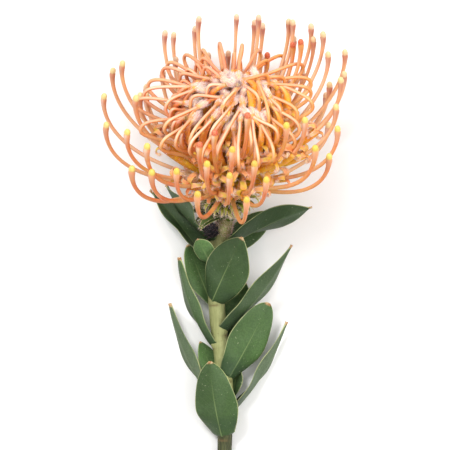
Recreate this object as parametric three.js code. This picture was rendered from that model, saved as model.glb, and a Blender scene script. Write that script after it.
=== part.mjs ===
// A cut pincushion protea (Leucospermum) lying on its back on a flat surface.
//
// Millimetres and degrees, +Z up, +Y from the stem's cut end towards the flower head.
// The flower frame, in which everything is shaped, has its origin at the foot of the
// flower head, +Y along the lying stem, +X across it and +Z to the side that faces up.
// It is then tipped by STEM_SLOPE, because the florets under the head hold it off the surface.

import * as THREE from 'three';

// ---------------------------------------------------------------- driving dimensions

const STEM_SLOPE = 4.2;        // rise of the lying stem towards the head
const HEAD_TILT = 36;          // how far the head's axis turns up from the stem
const HEAD_LEAN = 2;           // how far it turns to +X
const FOOT = { x: 1.5, y: 25.6, z: 24.2 };   // where the head's foot is, over the surface

const GAP = 0.3;               // clearance between pieces that touch
const PRESS_BLEND = 2.5;       // height over which a pressed piece eases onto the surface

const CONE_FOOT = 4.6;         // radius of the receptacle, the cone that carries the florets
const CONE_TOP = 2.2;
const CONE_HEIGHT = 34;

const STYLE_FOOT = 0.85;       // radius of a style at its foot
const STYLE_NECK = 0.75;       // and just below its pollen presenter
const PRESENTER = 1.3;         // radius of the pollen presenter, the knob at the tip
const PRESENTER_LENGTH = 4.2;
const STYLE_FINISH = 101;      // every style ends up pointing this way, 90 being along the axis
const STYLE_BEND = 2.2;        // above 1, most of the curving is near the tip
const STYLE_SPACING = 2.1;     // closest two florets grow on the receptacle

const LEAF_THICKNESS = 0.5;
const LEAF_STAND_OFF = 0.7;    // a leaf's middle over the stem's surface, at its foot

// ---------------------------------------------------------------- the pieces, one row each

// The stem's middle line from the cut end to the foot of the receptacle, with its radius.
const STEM_LINE = [
  { x: -2.0, y: -126.0, z: -12.0, r: 2.9 },
  { x: -1.5, y: -109.0, z: -12.0, r: 3.0 },
  { x: -1.0, y: -88.0, z: -12.0, r: 3.3 },
  { x: -2.5, y: -71.0, z: -12.0, r: 3.4 },
  { x: -4.0, y: -59.0, z: -12.0, r: 3.4 },
  { x: -5.0, y: -46.0, z: -11.9, r: 3.5 },
  { x: -5.4, y: -32.0, z: -11.4, r: 3.6 },
  { x: -3.6, y: -23.0, z: -10.6, r: 3.5 },
  { x: -1.8, y: -15.5, z: -8.8, r: 3.4 },
  { x: -0.6, y: -8.0, z: -5.2, r: 3.6 },
  { x: 0.0, y: 0.0, z: 0.0, r: CONE_FOOT },
];

// Leaves from the cut end up. at: where it grows on the stem, around: 0 on the side that
// faces up and 90 towards +X, spread: angle off the stem, lean: sideways turn of the midrib,
// bend: how much further it turns off the stem by its tip, twist: turn about the midrib,
// fold: how far each half of the blade folds up, peak: the share of its length at which it
// is widest, blunt: 0 for a pointed tip and 1 for a round one, heel: its width at the foot as
// a share of the widest.
const LEAVES = [
  [-103, -22, 26, -7, -26, 32, 19, 0, 8, 0.4, 0.45, 0.55],
  [-92, 98, 44, 0, -26, 43, 12, -30, 12, 0.3, 0, 0.55],
  [-88, 140, 8, -12, 0, 14, 8, 0, 8, 0.5, 0.4, 0.35],
  [-91, -98, 38, 0, -26, 48, 12, 36, 10, 0.3, 0.4, 0.5],
  [-84, -146, 10, 16, 0, 22, 10, 0, 8, 0.5, 0.5, 0.35],
  [-78.5, 34, 24, 29, -10, 35, 18, 0, 9, 0.5, 0.65, 0.45],
  [-64, 168, 9, -28, 0, 27, 13, 0, 4, 0.5, 0.4, 0.3],
  [-64, -84, 27, 0, -29, 39, 13, 22, 10, 0.3, 0.2, 0.6],
  [-59, 64, 54, 8, -20, 46, 14, -6, 14, 0.35, 0, 0.55],
  [-48, -146, 10, 15, 0, 27, 13, 0, 4, 0.5, 0.4, 0.3],
  [-46, -18, 24, 34, -12, 33, 19.5, 0, 9, 0.45, 0.3, 0.5],
  [-31, -124, 46, 0, 10, 42, 20, 0, 12, 0.3, 0.2, 0.42],
  [-31, -22, 30, -26, 0, 13, 9, 0, 8, 0.5, 0.4, 0.35],
  [-22, -98, 66, 0, -26, 30, 23, 24, 10, 0.42, 0.2, 0.45],
  [-22, 80, 44, 0, 14, 39, 18, -42, 12, 0.3, 0, 0.5],
  [-27, 170, 20, -36, 0, 29, 12, 0, 4, 0.5, 0.3, 0.3],
].map(([at, around, spread, lean, bend, length, width, twist, fold, peak, blunt, heel]) => (
  { at, around, spread, lean, bend, length, width, twist, fold, peak, blunt, heel }
));

// Florets that have opened. around: where the tip is, 0 on the side that faces up and 90
// towards +X, launch: the angle off the receptacle at which the style leaves, length: of it.
const OPEN_FLORETS = [
  [8, 4, 58], [-1, 16, 58], [13, 21, 57], [0, 28, 58], [-17, 5, 57], [-30, 13, 58],
  [-14, 20, 57], [19, 13, 57], [38, 35, 58], [58, 11, 61], [47, 19, 64], [64, 20, 67],
  [54, 33, 58], [82, 24, 62], [88, 30, 69], [110, 20, 69], [117, 22, 75], [116, 30, 68],
  [122, 34, 72], [131, 36, 72], [139, 41, 68], [164, 38, 66], [168, 30, 67],
  [178, 33, 67], [-160, 33, 67], [-150, 20, 68], [-140, 29, 67], [-113, 13, 71],
  [-110, 22, 69], [-101, 9, 69], [-78, 10, 68], [-64, 16, 64], [-55, 4, 61], [-48, 17, 63],
  [-45, 7, 57], [125, 4, 60], [152, -2, 62], [176, -5, 64], [-155, -2, 61], [-132, 4, 58],
].map(([around, launch, length]) => ({ around, launch, length }));

// ---------------------------------------------------------------- helpers

const radians = THREE.MathUtils.degToRad;
const { clamp, lerp, smoothstep } = THREE.MathUtils;
const vector = ({ x, y, z }) => new THREE.Vector3(x, y, z);

const flower = new THREE.Group();
flower.rotation.x = radians(STEM_SLOPE);
flower.position.copy(vector(FOOT));

const head = new THREE.Group();
head.rotation.set(radians(HEAD_TILT - 90), radians(HEAD_LEAN), 0);
head.updateMatrix();
flower.add(head);

// The direction that is up from the surface, as seen in the flower frame.
const UP = new THREE.Vector3(0, Math.sin(radians(STEM_SLOPE)), Math.cos(radians(STEM_SLOPE)));

// Keeps a point of a piece at least `clearance` above the surface, easing it down onto it.
function pressed(point, clearance) {
  const height = point.dot(UP) + FOOT.z;
  const over = height - clearance;
  if (over >= PRESS_BLEND) return point;
  const kept = over <= -PRESS_BLEND ? 0 : (over + PRESS_BLEND) ** 2 / (4 * PRESS_BLEND);
  return point.addScaledVector(UP, clearance + kept - height);
}

function meanOf(points) {
  return points.reduce((sum, point) => sum.add(point), new THREE.Vector3()).divideScalar(points.length);
}

// A closed solid through rings of points that run the same way round. Each end is capped by
// triangles that meet at the ring's hub.
function loft(rings, hubOf = meanOf) {
  const sides = rings[0].length;
  const positions = rings.flat();
  const index = [];
  for (let ring = 0; ring + 1 < rings.length; ring += 1) {
    for (let side = 0; side < sides; side += 1) {
      const a = ring * sides + side;
      const b = ring * sides + ((side + 1) % sides);
      index.push(a, b, b + sides, a, b + sides, a + sides);
    }
  }
  for (const [ring, flip] of [[rings[0], true], [rings.at(-1), false]]) {
    const start = flip ? 0 : (rings.length - 1) * sides;
    const middle = positions.length;
    positions.push(hubOf(ring));
    for (let side = 0; side < sides; side += 1) {
      const a = start + side;
      const b = start + ((side + 1) % sides);
      index.push(...(flip ? [middle, b, a] : [middle, a, b]));
    }
  }
  const geometry = new THREE.BufferGeometry().setFromPoints(positions);
  geometry.setIndex(index);
  geometry.computeVertexNormals();
  return geometry;
}

// A round solid along a line of points, with a radius for each point.
function roundAlong(points, radii, sides) {
  const tangents = points.map((_, i) => {
    const before = points[Math.max(i - 1, 0)];
    const after = points[Math.min(i + 1, points.length - 1)];
    return after.clone().sub(before).normalize();
  });
  let across = new THREE.Vector3(0, 0, 1).cross(tangents[0]);
  if (across.length() < 0.1) across.set(1, 0, 0);
  return loft(points.map((point, i) => {
    across.addScaledVector(tangents[i], -across.dot(tangents[i])).normalize();
    const other = tangents[i].clone().cross(across);
    return Array.from({ length: sides }, (_, side) => {
      const turn = (2 * Math.PI * side) / sides;
      return point.clone()
        .addScaledVector(across, radii[i] * Math.cos(turn))
        .addScaledVector(other, radii[i] * Math.sin(turn));
    });
  }));
}

function add(parent, name, geometry, color, roughness) {
  const mesh = new THREE.Mesh(
    geometry,
    new THREE.MeshStandardMaterial({ color, roughness, metalness: 0 }),
  );
  mesh.name = name;
  parent.add(mesh);
}

// ---------------------------------------------------------------- stem and receptacle

const coneRadius = (height) => lerp(CONE_FOOT, CONE_TOP, height / CONE_HEIGHT);
const stemCurve = new THREE.CatmullRomCurve3(STEM_LINE.map(vector));

function stemGeometry() {
  const points = [];
  const radii = [];
  const perPiece = 3;
  const last = (STEM_LINE.length - 1) * perPiece;
  for (let i = 0; i < last; i += 1) {
    const piece = Math.floor(i / perPiece);
    const part = smoothstep(i / perPiece - piece, 0, 1);
    points.push(stemCurve.getPoint(i / last));
    radii.push(lerp(STEM_LINE[piece].r, STEM_LINE[piece + 1].r, part));
  }
  for (const height of [0, 8, 16, 24, 30, CONE_HEIGHT - 1.2, CONE_HEIGHT]) {
    points.push(new THREE.Vector3(0, 0, height).applyMatrix4(head.matrix));
    radii.push(height < CONE_HEIGHT ? coneRadius(height) : 0.5 * CONE_TOP);
  }
  return roundAlong(points, radii, 16);
}

// ---------------------------------------------------------------- the cup of bracts

// Rows of short scales round the foot of the head; each row's lip stands off the next.
function involucreGeometry() {
  const LIPS = [
    { height: -9.6, radius: 5.9 }, { height: -7.0, radius: 5.9 },
    { height: -4.4, radius: 6.1 }, { height: -1.8, radius: 6.4 },
  ];
  const bore = [[CONE_FOOT + GAP, -0.6], [4.7, -4.5], [5.3, -11.6]];
  const inside = bore.map(([radius, height]) => new THREE.Vector2(radius, height));
  const profile = [inside.at(-1).clone()];
  for (const lip of LIPS) {
    profile.push(new THREE.Vector2(lip.radius - 0.5, lip.height - 1.2));
    profile.push(new THREE.Vector2(lip.radius, lip.height + 0.6));
    profile.push(new THREE.Vector2(lip.radius - 0.6, lip.height + 1));
  }
  profile.push(...inside);
  return new THREE.LatheGeometry(profile, 26).rotateX(Math.PI / 2);
}

// ---------------------------------------------------------------- leaves

function leafGeometry(leaf) {
  const STATIONS = 11;
  const ACROSS = 4;
  const foot = stemShareAt(leaf.at);
  const up = stemCurve.getTangent(foot);
  const out = new THREE.Vector3(Math.sin(radians(leaf.around)), 0, Math.cos(radians(leaf.around)));
  out.addScaledVector(up, -out.dot(up)).normalize();
  const round = up.clone().cross(out);
  const lean = radians(leaf.lean);
  const ahead = up.clone().multiplyScalar(Math.cos(lean)).addScaledVector(round, Math.sin(lean));
  const middle = stemCurve.getPoint(foot).addScaledVector(out, stemRadius(leaf.at) + LEAF_STAND_OFF);

  const rings = [];
  for (let station = 0; station <= STATIONS; station += 1) {
    const t = station / STATIONS;
    const angle = radians(leaf.spread + leaf.bend * t);
    const along = ahead.clone().multiplyScalar(Math.cos(angle)).addScaledVector(out, Math.sin(angle));
    const back = out.clone().multiplyScalar(Math.cos(angle)).addScaledVector(ahead, -Math.sin(angle));
    back.applyAxisAngle(along, radians(leaf.twist * smoothstep(t, 0, 0.6)));
    const side = along.clone().cross(back);
    if (station > 0) middle.addScaledVector(along, leaf.length / STATIONS);
    const half = 0.5 * leaf.width * leafOutline(t, leaf);
    const fold = radians(leaf.fold);
    const row = (face) => Array.from({ length: ACROSS + 1 }, (_, i) => {
      const s = (2 * i) / ACROSS - 1;
      const point = middle.clone().addScaledVector(side, s * half * Math.cos(fold));
      point.addScaledVector(back, -Math.abs(s) * half * Math.sin(fold));
      pressed(point, LEAF_THICKNESS);
      return point.addScaledVector(back, 0.5 * face * LEAF_THICKNESS);
    });
    rings.push([...row(-1).reverse(), ...row(1)]);
  }
  const midrib = (ring) => meanOf([ring[ACROSS / 2], ring[ring.length - 1 - ACROSS / 2]]);
  return loft(rings, midrib);
}

// Half-width of a leaf along its length, as a share of the widest.
function leafOutline(t, { peak, blunt, heel }) {
  const TIP_SHARE = 0.06;
  const rise = lerp(heel, 1, Math.sin(0.5 * Math.PI * clamp(t / peak, 0, 1)));
  const fall = (1 - clamp((t - peak) / (1 - peak), 0, 1) ** 2.2) ** lerp(1, 0.5, blunt);
  return rise * Math.max(fall, TIP_SHARE);
}

// How far along the stem's curve, from 0 to 1, its y is `at`.
function stemShareAt(at) {
  const ROUNDS = 12;
  const foot = STEM_LINE[0].y;
  const run = STEM_LINE.at(-1).y - foot;
  let share = (at - foot) / run;
  for (let round = 0; round < ROUNDS; round += 1) {
    share = clamp(share + (at - stemCurve.getPoint(share).y) / run, 0, 1);
  }
  return share;
}

function stemRadius(at) {
  const upper = STEM_LINE.findIndex((point) => point.y >= at);
  const [a, b] = [STEM_LINE[upper - 1], STEM_LINE[upper]];
  return lerp(a.r, b.r, (at - a.y) / (b.y - a.y));
}

// ---------------------------------------------------------------- the bud in a leaf's axil

function budGeometry() {
  const profile = [[0, 0], [1.4, 0.4], [2.6, 1.8], [3.1, 3.5], [2.5, 5.2], [1.1, 6.5], [0, 7]];
  const points = profile.map(([radius, height]) => new THREE.Vector2(radius, height));
  return new THREE.LatheGeometry(points, 14);
}

// ---------------------------------------------------------------- florets

// Florets crowd as they grow, so the places where they meet the receptacle space themselves out.
function floretFeet(florets) {
  const LOWEST = 1.4;
  const HIGHEST = 13;
  const ROUNDS = 120;
  const feet = florets.map(({ around, launch }) => ({
    around: radians(around),
    height: 1.6 + 0.25 * launch,
  }));
  for (let round = 0; round < ROUNDS; round += 1) {
    feet.forEach((a, i) => feet.slice(0, i).forEach((b) => {
      const turn = Math.atan2(Math.sin(a.around - b.around), Math.cos(a.around - b.around));
      const across = turn * CONE_FOOT;
      const up = a.height - b.height;
      const apart = Math.hypot(across, up);
      if (apart >= STYLE_SPACING || apart === 0) return;
      const push = (0.5 * (STYLE_SPACING - apart)) / apart;
      a.around += (push * across) / CONE_FOOT;
      b.around -= (push * across) / CONE_FOOT;
      a.height += push * up;
      b.height -= push * up;
    }));
    for (const foot of feet) foot.height = clamp(foot.height, LOWEST, HIGHEST);
  }
  return feet;
}

// The style runs nearly straight out, then curves up; its tip swings round to `around`.
function stylePoints({ around, launch, length }, foot, steps) {
  const start = radians(launch);
  const swing = Math.atan2(
    Math.sin(radians(around) - foot.around),
    Math.cos(radians(around) - foot.around),
  );
  let out = coneRadius(foot.height) + GAP + STYLE_FOOT * Math.abs(Math.sin(start));
  let height = foot.height;
  const points = [];
  for (let step = 0; step <= steps; step += 1) {
    const u = step / steps;
    if (step > 0) {
      const angle = lerp(start, radians(STYLE_FINISH), (u - 0.5 / steps) ** STYLE_BEND);
      out += (Math.cos(angle) * length) / steps;
      height += (Math.sin(angle) * length) / steps;
    }
    const turn = foot.around + swing * smoothstep(u, 0, 0.5);
    const point = new THREE.Vector3(out * Math.sin(turn), -out * Math.cos(turn), height);
    points.push(pressed(point.applyMatrix4(head.matrix), styleRadius(u * length, length)));
  }
  return points;
}

function styleRadius(run, length) {
  const toTip = length - run;
  if (toTip > PRESENTER_LENGTH) return lerp(STYLE_FOOT, STYLE_NECK, run / length);
  const part = toTip / PRESENTER_LENGTH;
  return lerp(STYLE_NECK, PRESENTER, Math.sin(Math.PI * part ** 0.6));
}

function floretGeometry(floret, foot) {
  const SIDES = 6;
  const STEPS = 64;
  const stops = [0, 8, 16, 24, 32, 39, 45, 51, 56, 59.5, 61.5, 63, STEPS];
  const curve = new THREE.CatmullRomCurve3(stylePoints(floret, foot, STEPS));
  const points = stops.map((stop) => curve.getPoint(stop / STEPS));
  const radii = stops.map((stop) => styleRadius((stop / STEPS) * floret.length, floret.length));
  return roundAlong(points, radii, SIDES);
}

// The florets that are still closed, with their looped styles, as one dome on the receptacle.
function innerFloretsGeometry() {
  const LOWEST = 15;
  const outside = [
    [5.4, 15.5], [10.5, 22.5], [16, 30], [20.5, 37], [22, 43], [19.5, 49], [12, 54], [0, 57],
  ];
  const profile = [
    new THREE.Vector2(0, CONE_HEIGHT + GAP),
    new THREE.Vector2(CONE_TOP + GAP, CONE_HEIGHT + GAP),
    new THREE.Vector2(coneRadius(LOWEST) + GAP, LOWEST),
    ...outside.map(([radius, height]) => new THREE.Vector2(radius, height)),
  ];
  return new THREE.LatheGeometry(profile, 24).rotateX(Math.PI / 2);
}

// ---------------------------------------------------------------- putting it together

const number = (i) => String(i + 1).padStart(2, '0');

add(flower, 'stem', stemGeometry(), 0x8f9a63, 0.6);
add(head, 'involucre', involucreGeometry(), 0x7d8a4c, 0.8);
LEAVES.forEach((leaf, i) => {
  add(flower, `leaf_${number(i)}`, leafGeometry(leaf), 0x4f6b4a, 0.55);
});
const feet = floretFeet(OPEN_FLORETS);
OPEN_FLORETS.forEach((floret, i) => {
  add(flower, `floret_${number(i)}`, floretGeometry(floret, feet[i]), 0xe8874e, 0.5);
});
add(head, 'inner_florets', innerFloretsGeometry(), 0xdf8f5a, 0.7);

const bud = new THREE.Group();
bud.position.set(-6.2, -19.6, -3.6);
bud.rotation.set(radians(32), 0, radians(20));
flower.add(bud);
add(bud, 'axillary_bud', budGeometry(), 0x2e2333, 0.7);

const group = new THREE.Group();
group.add(flower);

export default group;
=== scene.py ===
"""A cut pincushion protea (Leucospermum) lying on its back on a pale floor, looked down on.

Shapes are made in millimetres and degrees in the flower frame: its origin is at the foot of
the flower head, +Y along the stem to the head, +X across it and +Z to the side that faces up.
In the head's own frame a place is (around, radius, height): height along the head's axis,
around 0 on the side that faces up and 90 towards +X. to_row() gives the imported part's frame.
"""
from math import acos, atan2, cos, hypot, pi, radians, sin, sqrt

import bpy
import numpy as np
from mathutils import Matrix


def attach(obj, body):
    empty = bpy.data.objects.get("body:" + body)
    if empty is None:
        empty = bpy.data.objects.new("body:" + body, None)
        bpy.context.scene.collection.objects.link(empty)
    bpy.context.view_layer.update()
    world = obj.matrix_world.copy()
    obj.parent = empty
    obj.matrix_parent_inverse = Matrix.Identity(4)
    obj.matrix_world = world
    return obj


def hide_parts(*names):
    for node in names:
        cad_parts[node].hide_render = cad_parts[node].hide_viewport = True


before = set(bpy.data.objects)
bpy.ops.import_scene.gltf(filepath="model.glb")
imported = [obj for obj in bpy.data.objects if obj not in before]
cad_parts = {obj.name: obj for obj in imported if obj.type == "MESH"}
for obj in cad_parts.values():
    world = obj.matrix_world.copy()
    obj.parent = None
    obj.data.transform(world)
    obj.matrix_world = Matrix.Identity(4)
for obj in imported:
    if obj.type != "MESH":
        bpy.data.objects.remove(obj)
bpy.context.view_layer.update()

# ---------------------------------------------------------------- driving dimensions

MM = 0.001
STEM_SLOPE = 4.2
HEAD_TILT = 36
HEAD_LEAN = 2
FOOT = np.array([1.5, 25.6, 24.2])      # the head's foot over the surface

GAP = 0.3                   # between a floret's foot and the receptacle
PRESS_BLEND = 2.5           # how far over the surface things start to ease down onto it

CONE_FOOT = 4.6
CONE_TOP = 2.2
CONE_HEIGHT = 34

STYLE_FOOT = 0.85
STYLE_NECK = 0.75
STYLE_FINISH = 101
STYLE_BEND = 2.2
STYLE_SPACING = 2.1
STYLE_STEPS = 64

LEAF_THICKNESS = 0.5
LEAF_STAND_OFF = 0.7

GOLDEN_ANGLE = 137.508
FAR = 9.0                   # across or edge, where no groove or rim is near
FAR_FROM_TIP = 99.0
SILK_THICKNESS = 0.06
CLOSED_FEET = (13.5, 31)    # the lowest and highest place of a closed floret's foot
CURL_ROWS = (9, 22)         # where along its tube a part of a closed floret can come loose

VIEW_CENTRE = np.array([-1.3, -14.7, 0.0])   # what the camera is aimed at
VIEW_HEIGHT = 189                            # of what it takes in, at the flower
CAMERA_DISTANCE = 3000
SENSOR = 36

# The stem's middle line from the cut end to the foot of the receptacle: x, y, z, radius.
STEM_LINE = np.array([
    (-2.0, -126.0, -12.0, 2.9), (-1.5, -109.0, -12.0, 3.0), (-1.0, -88.0, -12.0, 3.3),
    (-2.5, -71.0, -12.0, 3.4), (-4.0, -59.0, -12.0, 3.4), (-5.0, -46.0, -11.9, 3.5),
    (-5.4, -32.0, -11.4, 3.6), (-3.6, -23.0, -10.6, 3.5), (-1.8, -15.5, -8.8, 3.4),
    (-0.6, -8.0, -5.2, 3.6), (0.0, 0.0, 0.0, CONE_FOOT),
])
STEM_MIDDLE, STEM_GIRTH = STEM_LINE[:, :3], STEM_LINE[:, 3]

# Leaves from the cut end up. at: where it grows on the stem, around: 0 on the side that
# faces up, spread: angle off the stem, lean: sideways turn of the midrib, bend: how much
# further it turns off by its tip, then length, width, twist about the midrib, fold of each
# half, peak: the share of its length at which it is widest, blunt: 0 for a pointed tip and 1
# for a round one, heel: its width at the foot as a share of the widest, tone from dark 0 to
# light 1, partly the leaf's own green and partly painted light and painted shade set for how
# the leaf lies to the light, tint from purple -1 through green 0 to grey 1.
LEAVES = [
    (-103, -22, 26, -7, -26, 32, 19, 0, 8, 0.4, 0.45, 0.55, 0.5, 0.1),
    (-92, 98, 44, 0, -26, 43, 12, -30, 12, 0.3, 0, 0.55, 0.6, 0.8),
    (-88, 140, 8, -12, 0, 14, 8, 0, 8, 0.5, 0.4, 0.35, 0.5, 0.2),
    (-91, -98, 38, 0, -26, 48, 12, 36, 10, 0.3, 0.4, 0.5, 0.5, 0.6),
    (-84, -146, 10, 16, 0, 22, 10, 0, 8, 0.5, 0.5, 0.35, 0.7, 0),
    (-78.5, 34, 24, 29, -10, 35, 18, 0, 9, 0.5, 0.65, 0.45, 0.65, 0.1),
    (-64, 168, 9, -28, 0, 27, 13, 0, 4, 0.5, 0.4, 0.3, 0.8, 0),
    (-64, -84, 27, 0, -29, 39, 13, 22, 10, 0.3, 0.2, 0.6, 0.55, 0.2),
    (-59, 64, 54, 8, -20, 46, 14, -6, 14, 0.35, 0, 0.55, 0.45, 0.3),
    (-48, -146, 10, 15, 0, 27, 13, 0, 4, 0.5, 0.4, 0.3, 0.6, 0),
    (-46, -18, 24, 34, -12, 33, 19.5, 0, 9, 0.45, 0.3, 0.5, 0.4, 0.1),
    (-31, -124, 46, 0, 10, 42, 20, 0, 12, 0.3, 0.2, 0.42, 0.3, 0.1),
    (-31, -22, 30, -26, 0, 13, 9, 0, 8, 0.5, 0.4, 0.35, 0.85, 0.1),
    (-22, -98, 66, 0, -26, 30, 23, 24, 10, 0.42, 0.2, 0.45, 0.4, 0.2),
    (-22, 80, 44, 0, 14, 39, 18, -42, 12, 0.3, 0, 0.5, 0.3, 0),
    (-27, 170, 20, -36, 0, 29, 12, 0, 4, 0.5, 0.3, 0.3, 0.5, 0),
]

# Florets that have opened. around: where the tip is, launch: the angle off the receptacle
# at which the style leaves, length: of the style.
OPEN_FLORETS = [
    (8, 4, 58), (-1, 16, 58), (13, 21, 57), (0, 28, 58), (-17, 5, 57), (-30, 13, 58),
    (-14, 20, 57), (19, 13, 57), (38, 35, 58), (58, 11, 61), (47, 19, 64), (64, 20, 67),
    (54, 33, 58), (82, 24, 62), (88, 30, 69), (110, 20, 69), (117, 22, 75), (116, 30, 68),
    (122, 34, 72), (131, 36, 72), (139, 41, 68), (164, 38, 66), (168, 30, 67),
    (178, 33, 67), (-160, 33, 67), (-150, 20, 68), (-140, 29, 67), (-113, 13, 71),
    (-110, 22, 69), (-101, 9, 69), (-78, 10, 68), (-64, 16, 64), (-55, 4, 61), (-48, 17, 63),
    (-45, 7, 57), (125, 4, 60), (152, -2, 62), (176, -5, 64), (-155, -2, 61), (-132, 4, 58),
]

# More of them, which grow in the gaps between the first ones' feet.
MORE_FLORETS = [
    (143, 39, 67), (128, 34, 69), (-160, 24, 66), (164, 27, 68), (11, 44, 58), (-20, 28, 58),
    (-12, 35, 58), (143, 31, 66), (135, 38, 60), (127, 40, 62), (120, 14, 62), (140, 12, 60),
    (159, 22, 58), (165, 10, 62), (-178, 24, 56), (-176, 8, 62), (-168, 14, 60), (-150, 12, 60),
    (-135, 18, 54), (-122, 10, 52), (-98, 24, 54), (-85, 26, 58), (108, 4, 52),
]
RED_TIPS = {(11, 44, 58), (-20, 28, 58), (-12, 35, 58), (159, 22, 58), (135, 38, 60), (127, 40, 62)}

# Florets that are still closed, outer ones first. The style's loop turns back at (around,
# reach, rise), and its end is held in the limb at the last three: around, radius, height.
CLOSED_FLORETS = [
    (-11, 33, 40, 30, 8, 48), (-33, 31, 39, -30, 16, 46), (-37, 29, 41, -40, 10, 49),
    (-45, 33, 40, -56, 20, 44), (-51, 37, 38, -54, 22, 43), (-60, 32, 42, -64, 16, 47),
    (-71, 40, 39, -64, 21, 43), (-81, 28, 44, -100, 16, 49), (-92, 40, 42, -82, 20, 46),
    (-97, 37, 44, -106, 18, 49), (-109, 37, 44, -104, 16, 49), (-123, 35, 46, -122, 14, 50),
    (-132, 37, 45, -130, 15, 49), (-147, 36, 46, -145, 14, 50), (-159, 35, 47, -152, 13, 51),
    (-172, 37, 48, -168, 13, 52), (173, 36, 48, 172, 12, 52), (160, 37, 46, 160, 12, 51),
    (146, 38, 46, 150, 13, 51), (130, 39, 46, 132, 16, 51), (116, 37, 44, 124, 18, 50),
    (103, 34, 45, 112, 16, 51), (91, 34, 44, 112, 20, 50), (80, 28, 43, 92, 15, 49),
    (64, 31, 41, 74, 17, 47), (54, 33, 39, 58, 18, 45), (44, 27, 42, 34, 15, 47),
    (32, 33, 38, 42, 17, 45), (18, 34, 38, 38, 14, 46), (6, 33, 37, 14, 14, 45),
    (-22, 33, 37, -16, 15, 45),
    (19, 27, 41, 34, 8, 49), (69, 22, 45, 84, 16, 49), (51, 20, 45, 112, 11, 54),
    (-74, 18, 48, -40, 7, 51), (-118, 25, 48, -120, 10, 53), (-150, 25, 50, -146, 9, 54),
    (178, 26, 50, 178, 8, 54), (146, 26, 50, 140, 9, 54), (114, 24, 49, 118, 10, 54),
    (-20, 24, 44, 0, 7, 49),
    (-76, 11, 52, -60, 3, 55), (-20, 12, 50, 40, 3, 54), (-128, 15, 54, -110, 5, 56),
    (168, 15, 54, 150, 5, 57), (110, 16, 53, 100, 4, 56), (55, 14, 51, 80, 4, 55),
    (-128, 24, 49, -125, 15, 50), (-112, 23, 47, -112, 17, 48), (-140, 24, 49, -138, 17, 48),
    (-95, 25, 44, -96, 19, 45), (-80, 26, 41, -84, 20, 42), (-66, 27, 39, -74, 20, 41),
    (-52, 27, 37, -58, 20, 40), (3, 26, 35, 4, 16, 42), (-14, 27, 35, -10, 17, 41),
    (22, 27, 36, 26, 18, 42), (40, 25, 38, 46, 19, 43),
]

DARK_TIPS = {11, 14, 47}

chance = np.random.default_rng(20)
draw = chance.uniform

# ---------------------------------------------------------------- frames and curves


def turn_about(axis, degrees):
    """A turn about x, y or z: axis 0, 1 or 2."""
    c, s = cos(radians(degrees)), sin(radians(degrees))
    a, b = (axis + 1) % 3, (axis + 2) % 3
    turn = np.eye(3)
    turn[a, a] = turn[b, b] = c
    turn[b, a], turn[a, b] = s, -s
    return turn


SLOPE = turn_about(0, STEM_SLOPE)
HEAD = turn_about(0, HEAD_TILT - 90) @ turn_about(1, HEAD_LEAN)
HEAD_AXIS = HEAD @ np.array([0.0, 0.0, 1.0])
UP = SLOPE.T @ np.array([0.0, 0.0, 1.0])
PAINTED_LIGHT_WAY = np.array([-0.33, 0.3, 0.9])       # the way the painted highlights and painted shade on the styles and tubes face


def to_row(points):
    return (np.asarray(points) @ SLOPE.T + FOOT) * MM


def head_point(around, radius, height):
    turn = radians(around)
    return HEAD @ np.array([radius * sin(turn), -radius * cos(turn), height])


def head_direction(around, rise):
    """A direction that leaves the head's axis at `around`, `rise` degrees up."""
    return head_point(around, cos(radians(rise)), sin(radians(rise)))


def facing_share(around, middle):
    """1 on the side of the head at `middle`, down to 0 on the opposite side."""
    return 0.5 + 0.5 * cos(radians(around - middle))


def unit(vectors):
    vectors = np.asarray(vectors, float)
    return vectors / np.maximum(np.linalg.norm(vectors, axis=-1, keepdims=True), 1e-9)


def square_to(along, way):
    """The direction nearest to `way` that is square to `along`."""
    return unit(way - along * (way @ along))


def swung(a, b, angle):
    """Directions a turned towards b, which is square to it, by an angle in radians."""
    angle = np.asarray(angle)[..., None]
    return a * np.cos(angle) + b * np.sin(angle)


def ring_angles(sides):
    return 2 * pi * np.arange(sides) / sides


def bounded(values):
    return np.clip(values, 0, 1)


def mixed(a, b, share):
    return a + (b - a) * share


def smoothstep(x, low, high):
    t = bounded((x - low) / (high - low))
    return t * t * (3 - 2 * t)


def pressed(points, clearance):
    """Keeps points at least `clearance` above the surface, easing them down onto it."""
    points = np.asarray(points, float)
    height = points @ UP + FOOT[2]
    over = height - clearance
    eased = (over + PRESS_BLEND) ** 2 / (4 * PRESS_BLEND)
    kept = np.where(over >= PRESS_BLEND, over, np.where(over <= -PRESS_BLEND, 0, eased))
    return points + (clearance + kept - height)[..., None] * UP


def through(points, shares):
    """Places on a smooth curve through points, at shares of it from 0 to 1."""
    points = np.asarray(points, float)
    last = len(points) - 1
    at = np.clip(np.asarray(shares, float) * last, 0, last - 1e-9)
    i = at.astype(int)
    t = (at - i)[:, None]
    padded = np.vstack([2 * points[0] - points[1], points, 2 * points[-1] - points[-2]])
    p0, p1, p2, p3 = padded[i], padded[i + 1], padded[i + 2], padded[i + 3]
    return 0.5 * (
        2 * p1 + (p2 - p0) * t + (2 * p0 - 5 * p1 + 4 * p2 - p3) * t ** 2
        + (3 * p1 - p0 - 3 * p2 + p3) * t ** 3
    )


def bezier(a, b, c, d, steps):
    t = np.linspace(0, 1, steps)[:, None]
    return (1 - t) ** 3 * a + 3 * (1 - t) ** 2 * t * b + 3 * (1 - t) * t ** 2 * c + t ** 3 * d


def summed(steps):
    return np.concatenate([[0], np.cumsum(steps)])


def run_along(points):
    """How far along a curve each of its points is."""
    return summed(np.linalg.norm(np.diff(points, axis=0), axis=1))


def evenly(points, count):
    """The same curve with its points at even distances."""
    run = run_along(points)
    want = np.linspace(0, run[-1], count)
    return np.stack([np.interp(want, run, points[:, k]) for k in range(3)], axis=1)


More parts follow.
